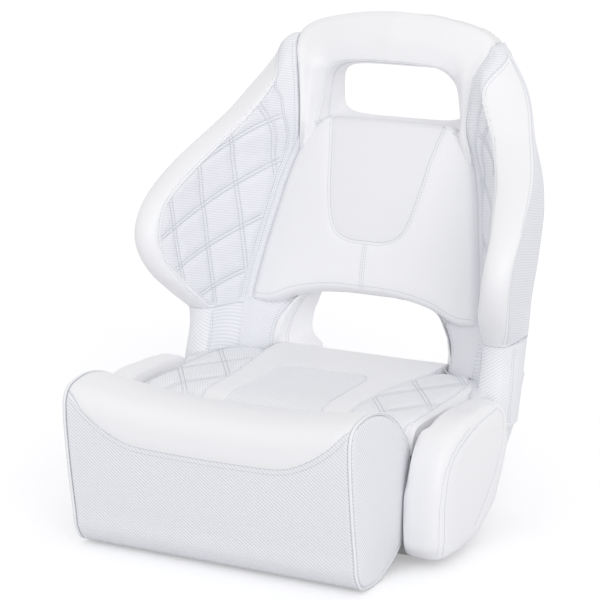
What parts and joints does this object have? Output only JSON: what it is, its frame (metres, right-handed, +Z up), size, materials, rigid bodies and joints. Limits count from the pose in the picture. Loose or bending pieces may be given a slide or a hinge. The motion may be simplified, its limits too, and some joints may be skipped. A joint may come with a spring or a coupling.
{
  "type": "helm bucket seat with flip-up bolster",
  "caption": "Upholstered boat helm seat: a one-piece bucket with side wings, a headrest arch round a handle opening, a lower vent opening and a front bolster that flips up.",
  "frame": {"origin": "on the underside of the base pan, at the middle of its threaded inserts", "axes": "+Z up, the sitter faces -Y, +X to the sitter's left"},
  "size_m": [0.63, 0.6704, 0.7248],
  "materials": {
    "smooth_vinyl": "smooth white marine vinyl over foam, satin",
    "twill_vinyl": "white marine vinyl with a fine diagonal twill emboss",
    "moulded_plastic": "moulded, light textured",
    "board": "marine composite board",
    "stainless": "brushed stainless",
    "nylon": "natural nylon",
    "rubber": "matt black rubber"
  },
  "bodies": {
    "seat": {"seat_cushion": "smooth_vinyl", "lumbar_pad": "smooth_vinyl", "headrest_pad": "smooth_vinyl", "hip_pad_left": "smooth_vinyl", "hip_pad_right": "smooth_vinyl", "wing_pad_left": "smooth_vinyl", "wing_pad_right": "smooth_vinyl", "neck_pad_left": "twill_vinyl", "neck_pad_right": "twill_vinyl", "base_side_cover_left": "twill_vinyl", "base_side_cover_right": "twill_vinyl", "post_pad_left": "twill_vinyl", "post_pad_right": "twill_vinyl", "rear_cover": "twill_vinyl", "base_rear_cover": "twill_vinyl", "base_pan": "moulded_plastic", "back_shell": "moulded_plastic", "hip_board_left": "moulded_plastic", "hip_board_right": "moulded_plastic", "seat_board": "board", "insert_plate": "stainless", "threaded_insert_1": "stainless", "threaded_insert_2": "stainless", "threaded_insert_3": "stainless", "threaded_insert_4": "stainless", "hinge_bracket_left": "stainless", "hinge_bracket_right": "stainless", "pivot_washer_left": "stainless", "pivot_washer_right": "stainless", "pivot_bolt_left": "stainless", "pivot_bolt_right": "stainless", "pivot_nut_left": "stainless", "pivot_nut_right": "stainless", "bracket_screw_left_1": "stainless", "bracket_screw_left_2": "stainless", "bracket_screw_right_1": "stainless", "bracket_screw_right_2": "stainless", "bolster_bumper_left": "rubber", "bolster_bumper_right": "rubber"},
    "bolster": {"bolster_pad": "smooth_vinyl", "bolster_board": "board", "bolster_piping_left": "smooth_vinyl", "bolster_piping_right": "smooth_vinyl", "bolster_end_panel_left": "twill_vinyl", "bolster_end_panel_right": "twill_vinyl", "bolster_arm_left": "stainless", "bolster_arm_right": "stainless", "pivot_bush_left": "nylon", "pivot_bush_right": "nylon", "arm_screw_left_1": "stainless", "arm_screw_left_2": "stainless", "arm_screw_right_1": "stainless", "arm_screw_right_2": "stainless"}
  },
  "joints": [
    {"name": "bolster_flip", "type": "hinge", "parent": "seat", "child": "bolster", "pos_m": [0, -0.095, 0.164], "axis": [-1, 0, 0], "range_deg": [0, 105]}
  ]
}
